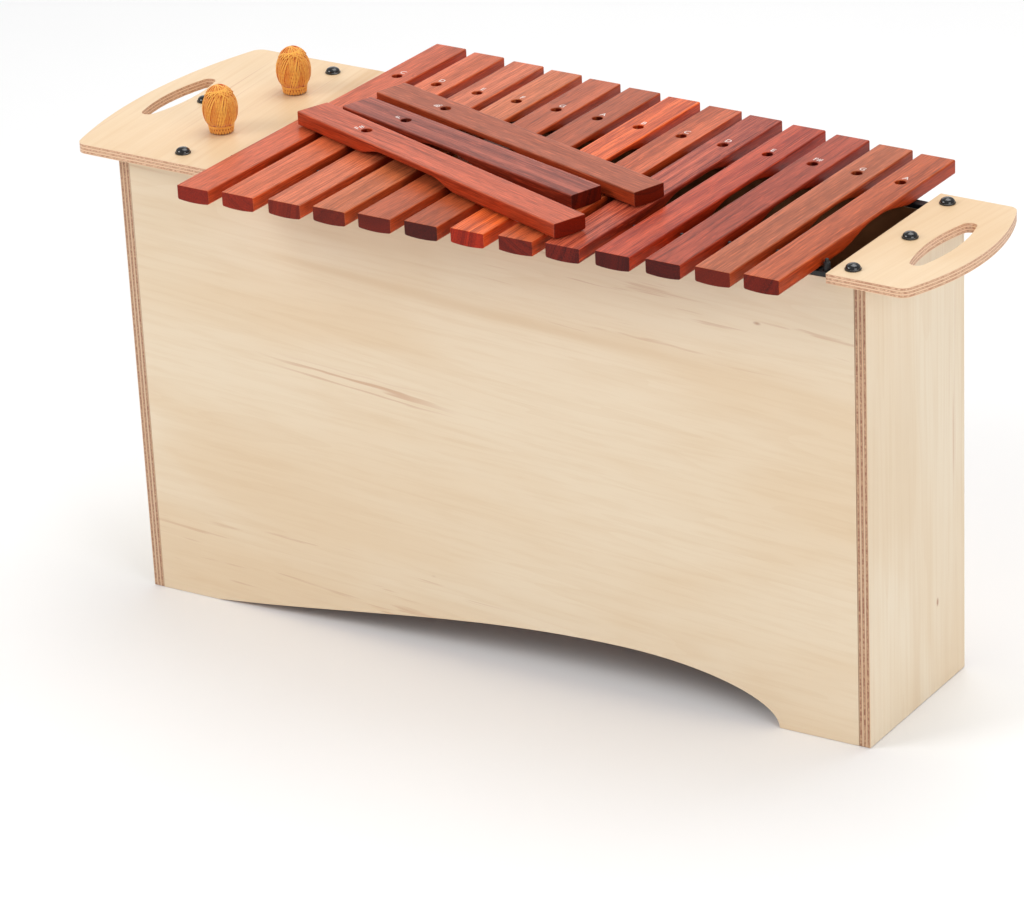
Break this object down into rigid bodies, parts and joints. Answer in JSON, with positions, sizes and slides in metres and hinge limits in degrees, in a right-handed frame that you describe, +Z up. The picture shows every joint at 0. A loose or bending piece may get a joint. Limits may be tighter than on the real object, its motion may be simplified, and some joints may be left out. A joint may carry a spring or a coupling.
{
  "type": "bass xylophone",
  "caption": "Floor-standing bass xylophone: hardwood tone bars on a tapered plywood resonator case with handle boards, lift-off exchange bars and yarn mallets.",
  "frame": {"origin": "centre of the bounding box at floor level", "axes": "+X along the keyboard from the low bars to the high bars, +Y away from the player to the side of the bars with the holes, +Z up"},
  "size_m": [0.96, 0.45, 0.5396],
  "materials": {
    "birch_ply": "satin clear lacquer over pale plywood, striped edges",
    "inner_ply": "raw plywood",
    "padauk": "oiled red-brown hardwood, satin",
    "black_rubber": "matt black",
    "black_plastic": "glossy black",
    "orange_yarn": "wound yarn",
    "beech_dowel": "smooth turned dowel"
  },
  "bodies": {
    "case": {"front_panel": "birch_ply", "back_panel": "birch_ply", "left_end_panel": "birch_ply", "right_end_panel": "birch_ply", "resonator_floor": "inner_ply", "divider_1": "inner_ply", "divider_2": "inner_ply", "divider_3": "inner_ply", "left_handle_board": "birch_ply", "right_handle_board": "birch_ply", "left_front_cap_screw": "black_plastic", "left_middle_cap_screw": "black_plastic", "left_back_cap_screw": "black_plastic", "right_front_cap_screw": "black_plastic", "right_middle_cap_screw": "black_plastic", "right_back_cap_screw": "black_plastic", "front_rail": "black_rubber", "back_rail": "black_rubber"},
    "bar_01_c": {"bar_01_c": "padauk"},
    "bar_02_d": {"bar_02_d": "padauk"},
    "bar_03_e": {"bar_03_e": "padauk"},
    "bar_04_f": {"bar_04_f": "padauk"},
    "bar_05_g": {"bar_05_g": "padauk"},
    "bar_06_a": {"bar_06_a": "padauk"},
    "bar_07_b": {"bar_07_b": "padauk"},
    "bar_08_c_high": {"bar_08_c_high": "padauk"},
    "bar_09_d_high": {"bar_09_d_high": "padauk"},
    "bar_10_e_high": {"bar_10_e_high": "padauk"},
    "bar_11_f_sharp": {"bar_11_f_sharp": "padauk"},
    "bar_12_g_high": {"bar_12_g_high": "padauk"},
    "bar_13_a_high": {"bar_13_a_high": "padauk"},
    "exchange_bar_f_sharp": {"exchange_bar_f_sharp": "padauk"},
    "exchange_bar_f": {"exchange_bar_f": "padauk"},
    "exchange_bar_b_flat": {"exchange_bar_b_flat": "padauk"},
    "front_mallet": {"front_mallet_head": "orange_yarn", "front_mallet_shaft": "beech_dowel"},
    "back_mallet": {"back_mallet_head": "orange_yarn", "back_mallet_shaft": "beech_dowel"}
  },
  "joints": [
    {"name": "exchange_bar_f_sharp_lift", "type": "slide", "parent": "case", "child": "exchange_bar_f_sharp", "axis": [0, 0, 1], "range_m": [0, 0.3]},
    {"name": "exchange_bar_f_lift", "type": "slide", "parent": "case", "child": "exchange_bar_f", "axis": [0, 0, 1], "range_m": [0, 0.3]},
    {"name": "exchange_bar_b_flat_lift", "type": "slide", "parent": "case", "child": "exchange_bar_b_flat", "axis": [0, 0, 1], "range_m": [0, 0.3]},
    {"name": "bar_01_c_lift", "type": "slide", "parent": "case", "child": "bar_01_c", "axis": [0, 0, 1], "range_m": [0, 0.1]},
    {"name": "bar_02_d_lift", "type": "slide", "parent": "case", "child": "bar_02_d", "axis": [0, 0, 1], "range_m": [0, 0.1]},
    {"name": "bar_03_e_lift", "type": "slide", "parent": "case", "child": "bar_03_e", "axis": [0, 0, 1], "range_m": [0, 0.1]},
    {"name": "bar_04_f_lift", "type": "slide", "parent": "case", "child": "bar_04_f", "axis": [0, 0, 1], "range_m": [0, 0.1]},
    {"name": "bar_05_g_lift", "type": "slide", "parent": "case", "child": "bar_05_g", "axis": [0, 0, 1], "range_m": [0, 0.1]},
    {"name": "bar_06_a_lift", "type": "slide", "parent": "case", "child": "bar_06_a", "axis": [0, 0, 1], "range_m": [0, 0.1]},
    {"name": "bar_07_b_lift", "type": "slide", "parent": "case", "child": "bar_07_b", "axis": [0, 0, 1], "range_m": [0, 0.1]},
    {"name": "bar_08_c_high_lift", "type": "slide", "parent": "case", "child": "bar_08_c_high", "axis": [0, 0, 1], "range_m": [0, 0.1]},
    {"name": "bar_09_d_high_lift", "type": "slide", "parent": "case", "child": "bar_09_d_high", "axis": [0, 0, 1], "range_m": [0, 0.1]},
    {"name": "bar_10_e_high_lift", "type": "slide", "parent": "case", "child": "bar_10_e_high", "axis": [0, 0, 1], "range_m": [0, 0.1]},
    {"name": "bar_11_f_sharp_lift", "type": "slide", "parent": "case", "child": "bar_11_f_sharp", "axis": [0, 0, 1], "range_m": [0, 0.1]},
    {"name": "bar_12_g_high_lift", "type": "slide", "parent": "case", "child": "bar_12_g_high", "axis": [0, 0, 1], "range_m": [0, 0.1]},
    {"name": "bar_13_a_high_lift", "type": "slide", "parent": "case", "child": "bar_13_a_high", "axis": [0, 0, 1], "range_m": [0, 0.1]},
    {"name": "front_mallet_draw", "type": "slide", "parent": "case", "child": "front_mallet", "axis": [0, 0, 1], "range_m": [0, 0.33]},
    {"name": "back_mallet_draw", "type": "slide", "parent": "case", "child": "back_mallet", "axis": [0, 0, 1], "range_m": [0, 0.33]}
  ],
  "couplings": [
    {"joint": "exchange_bar_f_lift", "follows": "exchange_bar_f_sharp_lift", "ratio": 1},
    {"joint": "exchange_bar_b_flat_lift", "follows": "exchange_bar_f_sharp_lift", "ratio": 1},
    {"joint": "bar_01_c_lift", "follows": "exchange_bar_f_sharp_lift", "ratio": 0.33333},
    {"joint": "bar_02_d_lift", "follows": "exchange_bar_f_sharp_lift", "ratio": 0.33333},
    {"joint": "bar_03_e_lift", "follows": "exchange_bar_f_sharp_lift", "ratio": 0.33333},
    {"joint": "bar_04_f_lift", "follows": "exchange_bar_f_sharp_lift", "ratio": 0.33333},
    {"joint": "bar_05_g_lift", "follows": "exchange_bar_f_sharp_lift", "ratio": 0.33333},
    {"joint": "bar_06_a_lift", "follows": "exchange_bar_f_sharp_lift", "ratio": 0.33333},
    {"joint": "bar_07_b_lift", "follows": "exchange_bar_f_sharp_lift", "ratio": 0.33333},
    {"joint": "bar_08_c_high_lift", "follows": "exchange_bar_f_sharp_lift", "ratio": 0.33333},
    {"joint": "bar_09_d_high_lift", "follows": "exchange_bar_f_sharp_lift", "ratio": 0.33333}
  ]
}
